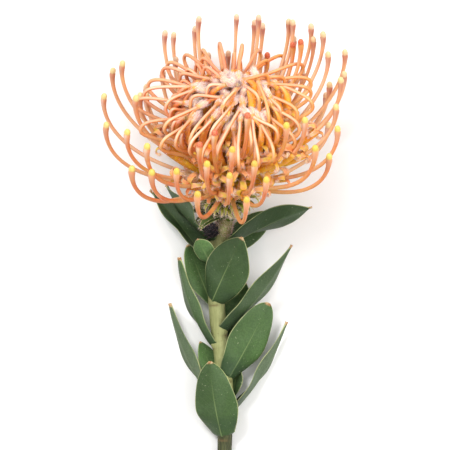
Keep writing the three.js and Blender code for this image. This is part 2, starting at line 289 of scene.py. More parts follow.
def carried(points, facing):
    """Tangents along a curve, and two directions across it: one starts near facing."""
    tangents = unit(np.gradient(points, axis=0))
    across = np.empty_like(tangents)
    side = np.asarray(facing, float)
    for i, tangent in enumerate(tangents):
        side = across[i] = square_to(tangent, side)
    return tangents, across, np.cross(tangents, across)


# ---------------------------------------------------------------- pieces

VALUES = ("along", "across", "edge", "tone", "tint")


def placed(name, data):
    made = bpy.data.objects.new(name, data)
    bpy.context.scene.collection.objects.link(made)
    return made


class Form:
    """The points, faces, materials and values of one piece while it is being made."""

    def __init__(self):
        self.points = []
        self.faces = {4: [], 3: []}
        self.skins = {4: [], 3: []}
        self.values = {name: [] for name in VALUES}
        self.count = 0

    def add(self, points, quads, triangles, skin, **values):
        points = np.asarray(points, float).reshape(-1, 3)
        self.points.append(points)
        for sides, faces in ((4, quads), (3, triangles)):
            faces = np.asarray(faces, int).reshape(-1, sides) + self.count
            self.faces[sides].append(faces)
            self.skins[sides] += [skin] * len(faces)
        for name in VALUES:
            self.values[name].append(np.broadcast_to(values.get(name, 0.0), len(points)))
        self.count += len(points)

    def loft(self, rings, skin, **values):
        """A closed solid through rings that run the same way round. Values go ring by ring,
        or point by point."""
        rings = np.asarray(rings, float)
        count, sides = rings.shape[:2]
        ends = np.stack([rings[0].mean(axis=0), rings[-1].mean(axis=0)])
        start = np.arange(count - 1)[:, None] * sides
        side = np.arange(sides)
        turned = np.roll(side, -1)
        a, b = (start + side).ravel(), (start + turned).ravel()
        quads = np.stack([a, b, b + sides, a + sides], axis=1)
        foot = np.full(sides, count * sides)
        last = (count - 1) * sides
        triangles = np.vstack([
            np.stack([foot, turned, side], axis=1),
            np.stack([foot + 1, last + side, last + turned], axis=1),
        ])
        spread = {}
        for name, value in values.items():
            value = np.asarray(value, float)
            if value.ndim == 1:
                value = np.repeat(value[:, None], sides, axis=1)
            if value.ndim == 2:
                value = np.concatenate([value.ravel(), [value[0].mean(), value[-1].mean()]])
            spread[name] = value
        self.add(np.vstack([rings.reshape(-1, 3), ends]), quads, triangles, skin, **spread)

    def tube(self, points, radii, sides, skin, facing=UP, flat=1.0, shape=None, **values):
        """A round solid along a curve. shape scales its radius by the angle round it."""
        _, across, other = carried(points, facing)
        turn = ring_angles(sides)
        radius = np.asarray(radii, float)[:, None] * (1 if shape is None else shape(turn))
        out = swung(across[:, None], flat * other[:, None], turn)
        self.loft(np.asarray(points)[:, None] + radius[..., None] * out, skin, **values)

    def turned(self, points, sides, facing=UP):
        """How far each point round such a tube turns to the light, from -1 to 1, for the painted
        highlights and painted shade.
        """
        _, across, other = carried(points, facing)
        return swung(across[:, None], other[:, None], ring_angles(sides)) @ PAINTED_LIGHT_WAY

    def hairs(self, roots, directions, lengths, thickness=SILK_THICKNESS, skin="silk", **values):
        """Fine hairs, each a closed spike of four faces. Values go hair by hair."""
        roots = np.asarray(roots, float)
        count = len(roots)
        directions = unit(directions)
        lengths = np.broadcast_to(lengths, count)[:, None]
        side = unit(np.cross(directions, chance.normal(size=(count, 3))))
        other = np.cross(directions, side)
        corners = [roots + thickness * swung(side, other, turn) for turn in ring_angles(3)]
        points = np.stack([*corners, roots + directions * lengths], axis=1)
        base = 4 * np.arange(count)[:, None]
        faces = ((0, 1, 3), (1, 2, 3), (2, 0, 3), (2, 1, 0))
        triangles = np.vstack([base + np.array(face) for face in faces])
        spread = {name: np.repeat(np.broadcast_to(v, count), 4) for name, v in values.items()}
        spread["along"] = np.tile([0, 0, 0, 1], count)
        self.add(points, [], triangles, skin, **spread)

    def silk_round(self, line, girth, facing, rows, lean, longest, tones,
                   thickness=SILK_THICKNESS):
        """Silk all round a tube, at the given rows of its line, leaning ahead along it."""
        tangents, across, other = carried(line, facing)
        count = len(rows)
        out = swung(across[rows], other[rows], draw(0, 2 * pi, count))
        roots = line[rows] + out * girth[rows][:, None]
        self.hairs(roots, out + lean * tangents[rows], draw(0.6, longest, count), thickness,
                   tone=draw(*tones, count))

    def piece(self, name, slot, *nodes):
        """The finished Blender object, riding on the flower and standing for its CAD nodes."""
        skins = self.skins[4] + self.skins[3]
        order = sorted(set(skins))
        worn = [order.index(skin) for skin in skins]
        faces = [np.vstack(self.faces[sides]) for sides in (4, 3)]
        corners = np.concatenate([some.ravel() for some in faces])
        sizes = np.repeat([4, 3], [len(some) for some in faces])
        mesh = bpy.data.meshes.new(name)
        mesh.vertices.add(self.count)
        mesh.vertices.foreach_set("co", to_row(np.vstack(self.points)).ravel())
        mesh.loops.add(len(corners))
        mesh.polygons.add(len(sizes))
        for items, key, numbers in (
            (mesh.loops, "vertex_index", corners), (mesh.polygons, "loop_total", sizes),
            (mesh.polygons, "loop_start", np.cumsum(sizes) - sizes),
            (mesh.polygons, "material_index", worn),
        ):
            items.foreach_set(key, np.array(numbers, np.int32))
        mesh.update(calc_edges=True)
        smooth = [skin not in ("silk", "down") for skin in skins]
        mesh.polygons.foreach_set("use_smooth", smooth)
        for value in VALUES:
            layer = mesh.attributes.new(value, "FLOAT", "POINT")
            layer.data.foreach_set("value", np.concatenate(self.values[value]).astype(np.float32))
        for skin in order:
            mesh.materials.append(SKINS[skin])
        made = placed(name, mesh)
        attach(made, "root")
        if nodes:
            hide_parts(*nodes)


# ---------------------------------------------------------------- materials


def colour(code):
    """A colour written as #rrggbb, as the linear values that a shader takes."""
    parts = [int(code[i:i + 2], 16) / 255 for i in (1, 3, 5)]
    return (*[p / 12.92 if p <= 0.04045 else ((p + 0.055) / 1.055) ** 2.4 for p in parts], 1.0)


class Skin:
    """A procedural material. Each method adds a node and gives its output."""

    def __init__(self, name, **sockets):
        self.material = bpy.data.materials.new(name)
        self.material.use_nodes = True
        self.tree = self.material.node_tree
        self.shader = self.tree.nodes["Principled BSDF"]
        for socket, value in sockets.items():
            self.shader.inputs[socket.replace("_", " ")].default_value = value

    def node(self, kind, inputs, output=0, **settings):
        made = self.tree.nodes.new("ShaderNode" + kind)
        for setting, value in settings.items():
            setattr(made, setting, value)
        for socket, value in inputs.items():
            self.feed(made.inputs[socket], value)
        return made.outputs[output]

    def feed(self, socket, value):
        if isinstance(value, bpy.types.NodeSocket):
            self.tree.links.new(value, socket)
        elif isinstance(value, str):
            socket.default_value = colour(value)
        else:
            socket.default_value = value

    def value(self, name):
        return self.node("Attribute", {}, "Fac", attribute_name=name)

    def maths(self, operation, a, b=0.0):
        return self.node("Math", {0: a, 1: b}, operation=operation)

    def times(self, a, b):
        return self.maths("MULTIPLY", a, b)

    def plus(self, a, b):
        return self.maths("ADD", a, b)

    def between(self, value, low, high):
        """0 below low and 1 above high, smoothly; low may be the greater."""
        inputs = {"Value": value, "From Min": low, "From Max": high}
        return self.node("MapRange", inputs, interpolation_type="SMOOTHSTEP")

    def noise(self, size, detail=2.0, stretch=(1, 1, 1)):
        """Noise whose patches are about `size` millimetres."""
        place = self.node("TexCoord", {}, "Object")
        place = self.node("VectorMath", {0: place, 1: stretch}, operation="MULTIPLY")
        inputs = {"Vector": place, "Scale": 1 / (size * MM), "Detail": detail}
        return self.node("TexNoise", inputs, "Fac")

    def patches(self, size, detail, low, high, stretch=(1, 1, 1)):
        return self.between(self.noise(size, detail, stretch), low, high)

    def mix(self, share, a, b):
        return self.node("Mix", {0: share, 6: a, 7: b}, 2, data_type="RGBA")

    def laid(self, base, code, cover, strength=1.0):
        """A colour laid over another where cover is above 0."""
        return self.mix(self.times(cover, strength) if strength != 1 else cover, base, code)

    def over(self, *layer):
        """Lays a colour over the skin's own."""
        self.base = self.laid(self.base, *layer)

    def speckled(self, *layers):
        """Lays patches over it. layers: colour, strength and what patches() takes."""
        for code, strength, *patch in layers:
            self.over(code, self.patches(*patch), strength)

    def relief(self, share, fine, coarse):
        """Two noises mixed for a bumpy surface: what noise() takes for each."""
        return self.mix(share, self.noise(*fine), self.noise(*coarse))

    def ramp(self, value, *stops):
        made = self.tree.nodes.new("ShaderNodeValToRGB")
        self.feed(made.inputs["Fac"], value)
        elements = made.color_ramp.elements
        while len(elements) < len(stops):
            elements.new(0.5)
        for element, (position, code) in zip(elements, stops):
            element.position = position
            element.color = colour(code)
        return made.outputs["Color"]

    def start(self, value, *stops):
        self.base = self.ramp(value, *stops)

    def finish(self, relief=None, depth=0.1, roughness=None):
        self.feed(self.shader.inputs["Base Color"], self.base)
        if relief is not None:
            inputs = {"Height": relief, "Distance": depth * MM, "Strength": 1.0}
            self.feed(self.shader.inputs["Normal"], self.node("Bump", inputs))
        if roughness is not None:
            self.feed(self.shader.inputs["Roughness"], roughness)
        return self.material


def style_skin():
    """Waxy, coral to amber. across is the distance to the tip, tint how ripe the tip is, and
    edge a painted highlight on the side that faces the light, below 0 a painted shade on
    the side away from it."""
    skin = Skin("style_skin", Roughness=0.42, Subsurface_Weight=0.12, Subsurface_Scale=0.001,
                Subsurface_Radius=(1.0, 0.45, 0.2), Coat_Weight=0.1, Coat_Roughness=0.2,
                Specular_IOR_Level=0.35)
    along, edge, ripe = skin.value("along"), skin.value("edge"), skin.value("tint")
    to_tip = skin.value("across")
    coral = skin.ramp(along, (0, "#908a44"), (0.14, "#bca062"), (0.3, "#dcae78"),
                      (0.5, "#e29c64"), (0.72, "#e27e40"), (0.9, "#da6a34"), (1, "#d4704a"))
    amber = skin.ramp(along, (0, "#989230"), (0.14, "#c8a446"), (0.3, "#eab45c"),
                      (0.5, "#f0a84e"), (0.72, "#ee9038"), (0.9, "#e47c34"), (1, "#d87c46"))
    skin.base = skin.mix(skin.value("tone"), coral, amber)
    skin.speckled(("#dca83c", 0.5, 9, 2, 0.5, 0.7),
                  ("#e0602c", 0.55, 12, 2, 0.52, 0.7), ("#f0a07c", 0.4, 5, 3, 0.5, 0.75))
    streaks = skin.patches(1.1, 3, 0.35, 0.7)
    skin.over("#bc5a2c", streaks, 0.22)
    # painted shade: a deeper orange on the side of the style away from the light
    painted_shade = skin.between(skin.plus(edge, skin.times(streaks, 0.1)), 0.0, -0.8)
    skin.over("#bc5424", painted_shade, 0.6)
    # painted highlight: pale cream on the side of the style that faces the light
    skin.over("#f8dcc0", skin.maths("MAXIMUM", edge))
    skin.over("#e6c096", skin.between(ripe, 0.45, 0.95), 0.5)
    collar = skin.ramp(ripe, (0, "#e09850"), (0.45, "#eaa272"), (0.75, "#d08660"), (1, "#c07c68"))
    # painted highlight on the collar, on the side that faces the light
    collar = skin.laid(collar, "#fbe2cc", skin.between(edge, 0.0, 0.7))
    skin.over(collar, skin.between(to_tip, 9.5, 3.6))
    cap = skin.ramp(ripe, (0, "#d04834"), (0.3, "#d8a038"), (0.5, "#e0c848"), (0.72, "#e4ca88"),
                    (1, "#e2bca2"))
    cap = skin.laid(cap, "#f2dc90", skin.patches(0.25, 2, 0.4, 0.62), 0.3)
    # painted highlight on the cap, on the side that faces the light
    cap = skin.laid(cap, "#fbf0b8", skin.between(edge, 0.3, 1.0), 0.4)
    ragged = skin.plus(to_tip, skin.times(skin.noise(1.3, 2), 0.9))
    skin.over(cap, skin.between(ragged, 3.3, 2.2))
    return skin.finish(skin.relief(0.5, (0.5, 3), (2.2, 2)), 0.09)


def perianth_skin():
    """The fleshy tubes and rolled claws: olive at the foot, orange, then pink and cream under
    the silk. edge is how pale a rim or limb is, and on the long tubes a painted highlight on
    the side that faces the light; tint how much of a claw's softer colours it has."""
    skin = Skin("perianth_skin", Roughness=0.5, Subsurface_Weight=0.12, Subsurface_Scale=0.0015,
                Subsurface_Radius=(1.0, 0.5, 0.2), Specular_IOR_Level=0.35)
    along, tone = skin.value("along"), skin.value("tone")
    # left is partly the florets' own salmon and partly painted shade: darker and more olive, for
    # the shaded left side of the head
    left = skin.ramp(along, (0, "#8e8a22"), (0.2, "#c09424"), (0.42, "#d68428"), (0.66, "#da7c3e"),
                     (0.88, "#e4ac7c"), (1, "#f0e0b4"))
    right = skin.ramp(along, (0, "#c8bc2e"), (0.2, "#f4ca2c"), (0.42, "#fab82a"), (0.66, "#f6a236"),
                      (0.88, "#f0b878"), (1, "#f0deb0"))
    skin.base = skin.mix(tone, left, right)
    fiery = skin.times(skin.patches(4, 3, 0.45, 0.7), skin.between(tone, 1.7, -0.6))
    skin.over("#dc6422", fiery)
    skin.speckled(("#a89a3a", 0.5, 5, 2, 0.56, 0.72),
                  ("#f2ca36", 0.6, 2.6, 2, 0.52, 0.72, (1.3, 0.8, 1)),
                  ("#f2b09c", 0.5, 3.1, 2, 0.58, 0.74))
    soft = skin.ramp(skin.noise(3.5, 2), (0.36, "#ee8054"), (0.5, "#f8b484"), (0.62, "#dcc84c"))
    skin.over(soft, skin.value("tint"), 0.75)
    # pale rims and limbs, and the painted highlight along the tubes
    skin.over("#fae6cc", skin.value("edge"))
    groove = skin.between(skin.maths("ABSOLUTE", skin.value("across")), 0.16, 0.0)
    skin.over("#985424", groove, 0.5)
    return skin.finish(skin.relief(0.6, (0.5, 3), (1.8, 2)), 0.4)


def silk_skin():
    """Hairs: cream and pinkish, darker where tint says."""
    skin = Skin("silk_skin", Roughness=0.55)
    skin.start(skin.value("tone"), (0, "#f0988a"), (0.35, "#f8c8be"), (0.7, "#fae6e2"),
               (1, "#fffaf0"))
    skin.over("#6a3c48", skin.value("tint"))
    skin.over("#fff6ea", skin.value("along"), 0.25)
    return skin.finish()


def down_skin():
    """The woolly scales between the florets' feet."""
    skin = Skin("down_skin", Roughness=0.6)
    skin.start(skin.value("tone"), (0, "#d09434"), (0.5, "#f0b03c"), (1, "#f6cc70"))
    return skin.finish()


def leaf_skin():
    """Leathery and bloomed; edge is the distance to the margin and across to the midrib."""
    skin = Skin("leaf_skin", Roughness=0.5, Subsurface_Weight=0.05, Subsurface_Scale=0.001,
                Subsurface_Radius=(0.4, 1.0, 0.2), Specular_IOR_Level=0.3)
    along, across = skin.value("along"), skin.maths("ABSOLUTE", skin.value("across"))
    edge, tint = skin.value("edge"), skin.value("tint")
    skin.start(skin.value("tone"), (0, "#22331c"), (0.5, "#41592f"), (1, "#678c4e"))
    skin.over("#6c7a60", skin.between(tint, 0.0, 1.0), 0.75)
    skin.over("#362a30", skin.between(tint, 0.0, -1.0))
    skin.speckled(("#5c7250", 0.3, 9, 4, 0.4, 0.7),
                  ("#2c4226", 0.35, 12, 3, 0.5, 0.72, (1, 0.6, 1)),
                  ("#24331c", 0.3, 0.7, 4, 0.35, 0.7))
    course = skin.maths("SUBTRACT", skin.times(along, 9.0), skin.times(across, 0.28))
    veins = skin.between(skin.maths("PINGPONG", course, 0.5), 0.07, 0.0)
    veins = skin.times(veins, skin.between(edge, 0.6, 1.6))
    skin.over("#7f955f", veins, 0.05)
    rib = skin.times(skin.between(across, 0.36, 0.1), skin.between(along, 0.9, 0.15))
    skin.over("#8fa268", rib, 0.5)
    uneven = skin.plus(skin.times(skin.patches(11, 2, 0.3, 0.62), 0.6), 0.3)
    skin.over("#c2c68c", skin.times(skin.between(edge, 0.3, 0.06), uneven))
    # painted shade: darker in patches towards the leaf's foot
    foot = skin.times(skin.between(along, 0.3, 0.08), skin.patches(14, 2, 0.35, 0.6))
    skin.over("#2e4030", foot, 0.5)
    skin.speckled(("#a9b28c", 0.5, 0.9, 1, 0.73, 0.77))
    callus = skin.times(skin.between(along, 0.955, 0.985), skin.between(across, 1.8, 0.9))
    skin.over(skin.ramp(skin.noise(0.8), (0.4, "#9a6038"), (0.6, "#cdb68a")), callus)
    relief = skin.plus(skin.noise(0.6, 4), skin.times(veins, 0.25))
    rough = skin.node("MapRange", {"Value": skin.noise(5, 3), "To Min": 0.42, "To Max": 0.62})
    return skin.finish(relief, 0.12, rough)


def stem_skin():
    """Yellow-green bark, olive-brown at the cut end and golden inside the head."""
    skin = Skin("stem_skin", Roughness=0.6, Specular_IOR_Level=0.3)
    along = skin.value("along")
    skin.start(along, (0, "#282c1a"), (0.14, "#343820"), (0.18, "#8f935e"), (0.3, "#a0a46c"),
               (0.58, "#989a68"), (0.68, "#8e8a5c"), (0.8, "#8a7450"), (0.9, "#ac7824"),
               (1, "#b47e20"))
    skin.speckled(("#6f7344", 0.4, 0.7, 3, 0.35, 0.7, (1, 0.12, 1)))
    blotches = skin.times(skin.patches(6, 3, 0.5, 0.72), skin.between(along, 0.17, 0.25))
    skin.over("#c6c890", blotches, 0.4)
    skin.speckled(("#6f4f35", 0.6, 0.8, 2, 0.68, 0.74))
    # darker band just below each leaf's heel
    skin.over("#6e5a3c", skin.value("edge"), 0.8)
    return skin.finish(skin.relief(0.5, (0.5, 4, (1, 0.2, 1)), (1.4, 3)), 0.25)


def cut_skin():
    """The cut end of the stem: bark, a green ring, wood and a soft middle."""
    skin = Skin("cut_skin", Roughness=0.8)
    rings = skin.plus(skin.value("across"), skin.times(skin.noise(1.0, 3), 0.12))
    skin.start(rings, (0.1, "#c2a97a"), (0.34, "#e0d3a6"), (0.5, "#d9cf9c"),
               (0.86, "#b9bd7a"), (0.97, "#7a7a46"), (1, "#4c4a30"))
    return skin.finish(skin.noise(0.35, 4), 0.2)


def bract_skin():
    """Green scales with browned, downy rims; the leafy ones have a tone near 1."""
    skin = Skin("bract_skin", Roughness=0.55, Specular_IOR_Level=0.35)
    skin.start(skin.value("along"), (0, "#4c5a1e"), (0.4, "#7c8c2a"), (0.75, "#b0b444"),
               (1, "#dcc884"))
    skin.over("#4a5e2c", skin.between(skin.value("tone"), 0.75, 0.95))
    skin.speckled(("#52681f", 0.4, 2.2, 3, 0.4, 0.7))
    skin.over("#d8ca84", skin.between(skin.value("edge"), 0.3, 0.05), 0.6)
    return skin.finish(skin.noise(0.5, 3), 0.2)


def bud_skin():
    """Purple-black scales with a greyish bloom."""
    skin = Skin("bud_skin", Roughness=0.5, Specular_IOR_Level=0.3)
    skin.start(skin.value("along"), (0, "#0c0a0c"), (0.6, "#0e0b0e"), (1, "#221c24"))
    skin.speckled(("#34333a", 0.3, 1.2, 3, 0.5, 0.75))
    return skin.finish(skin.noise(0.4, 3), 0.15)


def floor_skin():
    skin = Skin("floor_skin", Roughness=0.9)
    skin.start(skin.noise(40, 2), (0.3, "#f7f6f4"), (0.7, "#fbfaf9"))
    return skin.finish()


# ---------------------------------------------------------------- camera, floor and lights


def set_up_view():
    lens = bpy.data.cameras.new("camera")
    lens.sensor_width = SENSOR
    lens.lens = SENSOR * CAMERA_DISTANCE / VIEW_HEIGHT
    lens.clip_end = 10      # metres
    camera = placed("camera", lens)
    away = SLOPE @ np.array([0, 0, CAMERA_DISTANCE])
    camera.location = to_row(VIEW_CENTRE) + away * MM
    camera.rotation_euler = (radians(STEM_SLOPE), 0, 0)
    bpy.context.scene.camera = camera
    bpy.context.scene.view_settings.view_transform = "Standard"


def add_floor():
    half = 3.0      # metres
    mesh = bpy.data.meshes.new("floor")
    corners = [(-half, -half, 0), (half, -half, 0), (half, half, 0), (-half, half, 0)]
    mesh.from_pydata(corners, [], [(0, 1, 2, 3)])
    mesh.materials.append(floor_skin())
    floor = placed("floor", mesh)


def add_light(name, place, size, power):
    """A square light that is aimed at the flower."""
    light = bpy.data.lights.new(name, "AREA")
    light.size = size
    light.energy = power
    lamp = placed(name, light)
    lamp.location = place
    aim = unit(-np.array(place, float))
    lamp.rotation_euler = (acos(-aim[2]), 0, atan2(aim[0], -aim[1]) + pi)


def light_studio():
    world = bpy.data.worlds.new("studio")
    world.use_nodes = True
    sky = world.node_tree.nodes["Background"].inputs
    sky["Color"].default_value = (1, 1, 1, 1)
    sky["Strength"].default_value = 0.5
    bpy.context.scene.world = world
    add_light("key", (-0.5, 0.6, 1.2), 0.45, 14)
    add_light("fill", (0.8, 0.1, 1.0), 0.7, 9)
    add_light("top", (0.0, -0.1, 1.6), 1.0, 4)


# ---------------------------------------------------------------- stem and receptacle


def cone_radius(height):
    return mixed(CONE_FOOT, CONE_TOP, height / CONE_HEIGHT)


def stem_frame(at, around):
    """The place on the stem's middle line where y is `at`, the way it runs and the way out."""
    shares = np.linspace(0, 1, 801)
    share = np.interp(at, through(STEM_MIDDLE, shares)[:, 1], shares)
    place, ahead = through(STEM_MIDDLE, [share, min(share + 0.002, 1)])
    along = unit(ahead - place)
    out = np.array([sin(radians(around)), 0, cos(radians(around))])
    return place, along, square_to(along, out)


def stem_radius(at):
    return np.interp(at, STEM_LINE[:, 1], STEM_GIRTH)


def make_stem():
    form = Form()
    stations, cone_stations, sides = 300, 24, 36
    line = through(STEM_MIDDLE, np.linspace(0, 1, stations))
    part = np.linspace(0, 1, stations) * (len(STEM_LINE) - 1)
    lower = np.minimum(part.astype(int), len(STEM_LINE) - 2)
    radii = mixed(STEM_GIRTH[lower], STEM_GIRTH[lower + 1], smoothstep(part - lower, 0, 1))
    heights = np.linspace(0.4, CONE_HEIGHT - 1.2, cone_stations)
    heights = np.append(heights, [CONE_HEIGHT - 0.3, CONE_HEIGHT])
    line = np.vstack([line, heights[:, None] * HEAD_AXIS])
    radii = np.concatenate([radii, cone_radius(heights)])
    radii[-2:] = [0.8 * CONE_TOP, 0.5 * CONE_TOP]
    _, across, other = carried(line, (1, 0, 0))
    turn = ring_angles(sides)
    run = run_along(line)
    ribs = 0.05 * np.sin(5 * turn + 0.03 * run[:, None]) + 0.03 * np.sin(11 * turn + 1)
    lumps = 0.06 * np.sin(0.55 * run[:, None] + 2 * turn) * np.sin(0.21 * run[:, None])
    swollen = radii[:, None] + ribs + lumps
    facing = swung(across[:, None], other[:, None], turn)
    surface = line[:, None] + facing * swollen[..., None]
    # a darker band on the stem just below each leaf's heel
    heel_band = np.zeros(surface.shape[:2])
    for at, around, *_ in LEAVES:
        place, along, out = stem_frame(at - 1.2, around)
        away = surface - (place + out * stem_radius(at))
        upward = away @ along
        sideways = np.linalg.norm(away - upward[..., None] * along, axis=-1)
        swollen += 0.7 * np.exp(-(sideways / 2.2) ** 2 - ((upward - 0.6) / 1.7) ** 2)
        heel_band = np.maximum(heel_band, np.exp(-(sideways / 2.4) ** 2 - ((upward + 1.3) / 0.45) ** 2))
    surface = line[:, None] + facing * swollen[..., None]
    rings = np.array([0.05, 0.3, 0.6, 0.93, 1])
    rim = surface[0] + 0.25 * unit(line[0] - line[1])
    form.loft(line[0] + (rim - line[0]) * rings[:, None, None], "cut", across=rings)
    form.loft(surface, "stem", along=run / run[-1], edge=heel_band)

    count = 2600
    downy = (run > 0.66 * run[-1]) & (run < 0.86 * run[-1])
    rows = chance.choice(np.flatnonzero(downy), count)
    columns = chance.integers(0, sides, count)
    directions = facing[rows, columns] + 0.6 * unit(np.gradient(line, axis=0))[rows]
    directions += 0.35 * chance.normal(size=directions.shape)
    form.hairs(surface[rows, columns], directions, draw(0.6, 1.5, count), 0.05,
               tone=draw(0.2, 0.7, count))
    count = 3200
    around, height = draw(0, 360, count), draw(12, CONE_HEIGHT, count)
    roots = [head_point(a, cone_radius(h), h) for a, h in zip(around, height)]
    directions = [head_direction(a, rise) for a, rise in zip(around, draw(25, 80, count))]
    form.hairs(roots, directions, draw(4, 9, count), 0.16, "down", tone=draw(0, 1, count))
    form.piece("stem_and_receptacle", "stem", "stem")


# ---------------------------------------------------------------- leaves


def leaf_outline(t, peak, blunt, heel):
    """Half-width along a leaf, as a share of the widest."""
    tip_share = 0.06
    rise = mixed(heel, 1, np.sin(0.5 * pi * bounded(t / peak)))
    fall = 1 - bounded((t - peak) / (1 - peak)) ** 2.2
    return rise * np.maximum(fall ** mixed(1, 0.5, blunt), tip_share)


def both_faces(inner, outer=None):
    """Round a thin blade: what belongs to the points on its inner and then its outer face."""
    return np.concatenate([inner[:, ::-1], inner if outer is None else outer], axis=1)


def make_leaf(index, row):
    at, around, spread, lean, bend, length, width, twist, fold, peak, blunt, heel = row[:12]
    tone, tint = row[12:]
    stations, columns = 50, 16
    place, up, out = stem_frame(at, around)
    ahead = swung(up, np.cross(up, out), radians(lean))
    t = 1 - (1 - np.linspace(0, 1, stations + 1)) ** 1.25
    angle = np.radians(spread + bend * t)
    along, back = swung(ahead, out, angle), swung(out, -ahead, angle)
    back = swung(back, np.cross(along, back), np.radians(twist * smoothstep(t, 0, 0.6)))
    side = np.cross(along, back)
    steps = length * np.diff(t, prepend=0)[:, None]
    middle = place + out * (stem_radius(at) + LEAF_STAND_OFF) + np.cumsum(along * steps, axis=0)
    half = 0.5 * width * leaf_outline(t, peak, blunt, heel)[:, None]
    # three more stations, which round off the heel
    before, rounded = np.array([[1.2, 0.4], [1.0, 0.76], [0.5, 0.95]]).T[..., None]
    middle = np.vstack([middle[0] - along[0] * before - out * 0.5 * before, middle])
    half = np.vstack([half[0] * rounded, half])
    side, back = (np.vstack([np.repeat(way[:1], 3, axis=0), way]) for way in (side, back))
    t = np.concatenate([np.zeros(3), t])[:, None]
    s = np.linspace(-1, 1, columns + 1)
    s = np.sign(s) * np.abs(s) ** 0.85
    crease = np.sqrt(s ** 2 + 0.01) - 0.1
    ripple = 2 * pi * (1.6 * t + 0.25 * np.sign(s)) + 1.7 * index
    wave = 0.04 * width * s ** 2 * np.sin(ripple) * smoothstep(t, 0.1, 0.4)
    cupped = 0.1 * width * smoothstep(t, 0.35, 0) * s ** 2
    lift = wave - cupped - crease * half * sin(radians(fold))
    points = middle[:, None] + side[:, None] * (s * half * cos(radians(fold)))[..., None]
    points = pressed(points + back[:, None] * lift[..., None], LEAF_THICKNESS)
    rib = np.exp(-((s * half) / 0.55) ** 2) * (1 - 0.7 * t)
    plump = np.sqrt(1 - 0.96 * s ** 6) * (1 + 0.9 * np.exp(-((1 - t) / 0.03) ** 2))
    veins = np.abs(((9 * t - 0.28 * np.abs(s * half)) % 1) - 0.5)
    ridge = 0.015 * smoothstep(veins, 0.12, 0) * smoothstep(1 - np.abs(s), 0.05, 0.3)
    under = 0.5 * LEAF_THICKNESS * plump + 0.4 * rib + ridge
    over = 0.5 * LEAF_THICKNESS * plump - 0.12 * rib
    outer = points + back[:, None] * under[..., None]
    inner = points - back[:, None] * over[..., None]
    form = Form()
    # painted light and shade: the tone is raised on one half of each blade and lowered on the other
    form.loft(both_faces(inner, outer), "leaf", along=t[:, 0], across=both_faces(s * half),
              edge=both_faces((1 - np.abs(s)) * half),
              tone=both_faces(bounded(tone + 0.1 * s + 0 * half)), tint=tint)
    number = f"{index + 1:02d}"
    form.piece(f"leaf_blade_{number}", "leaf", f"leaf_{number}")


# ---------------------------------------------------------------- bracts and bud


def add_scale(form, skin, foot, up, out, length, width, spread, curl, thickness=0.32, **values):
    """A small pointed scale whose tip curls away from what it grows on. Gives places on its
    rim and the directions of hairs there."""
    stations, columns = 12, 6
    t = np.linspace(0, 1, stations + 1)
    angle = np.radians(spread + curl * t ** 2)
    along, back = swung(up, out, angle), swung(out, -up, angle)
    side = np.cross(along, back)
    middle = foot + (np.cumsum(along, axis=0) - along[0]) * (length / stations)
    outline = np.sqrt(bounded(0.25 + t / 0.35)) * np.maximum((1 - t ** 1.8), 0.06)
    half = 0.5 * width * outline[:, None]
    s = np.linspace(-1, 1, columns + 1)
    lift = -0.35 * half * s ** 2
    points = middle[:, None] + side[:, None] * (s * half)[..., None]
    points = points + back[:, None] * lift[..., None]
    plump = 0.5 * thickness * np.sqrt(1 - 0.9 * s ** 4) * (1 - 0.5 * t[:, None])
    plump = back[:, None] * plump[..., None]
    form.loft(both_faces(points - plump, points + plump), skin, along=t,
              edge=both_faces((1 - np.abs(s)) * half), **values)
    rims = np.concatenate([points[2:, 0], points[2:, -1], points[-1:, 3]])
    away = np.concatenate([-side[2:], side[2:], along[-1:]])
    return rims, away + 0.8 * np.concatenate([along[2:], along[2:], along[-1:]])


def make_involucre():
    form = Form()
    sleeve = np.array([-11.4, -9, -6, -3, -0.8])[:, None] * HEAD_AXIS
    form.tube(sleeve, [4.9, 5.3, 5.6, 5.8, 5.6], 32, "bract", along=0.2, edge=FAR)
    rows, per_row, leafy_rows = 8, 13, 3
    feet, ways = [], []
    for row in range(rows):
        share = row / (rows - 1)
        for i in range(per_row):
            around = 360 * (i + 0.5 * (row % 2)) / per_row + draw(-9, 9)
            foot = head_point(around, mixed(4.7, 5.5, share), mixed(-12.8, -3.4, share))
            leafy = row < leafy_rows and sin(radians(around)) < -0.6
            length = mixed(5.4, 11, share) * draw(0.8, 1.2) + 4.5 * leafy
            width = mixed(3.2, 2.5, share) + 2.5 * leafy
            spread = mixed(18, 42, share) + 58 * leafy
            curl = mixed(60, 190, share) * draw(0.5, 1.25) * (0.6 if leafy else 1)
            rims, out = add_scale(form, "bract", foot, HEAD_AXIS, head_direction(around, 0), length,
                                  width, spread, curl, tone=1.0 if leafy else chance.random())
            keep = chance.random(len(rims)) < 0.8
            feet.append(rims[keep])
            ways.append(out[keep])
    ways = unit(np.vstack(ways * 2))
    ways = ways + 0.5 * chance.normal(size=ways.shape)
    form.hairs(np.vstack(feet * 2), ways, draw(0.5, 1.5, len(ways)), tone=draw(0.3, 0.9, len(ways)))
    form.piece("involucre_bracts", "bract", "involucre")


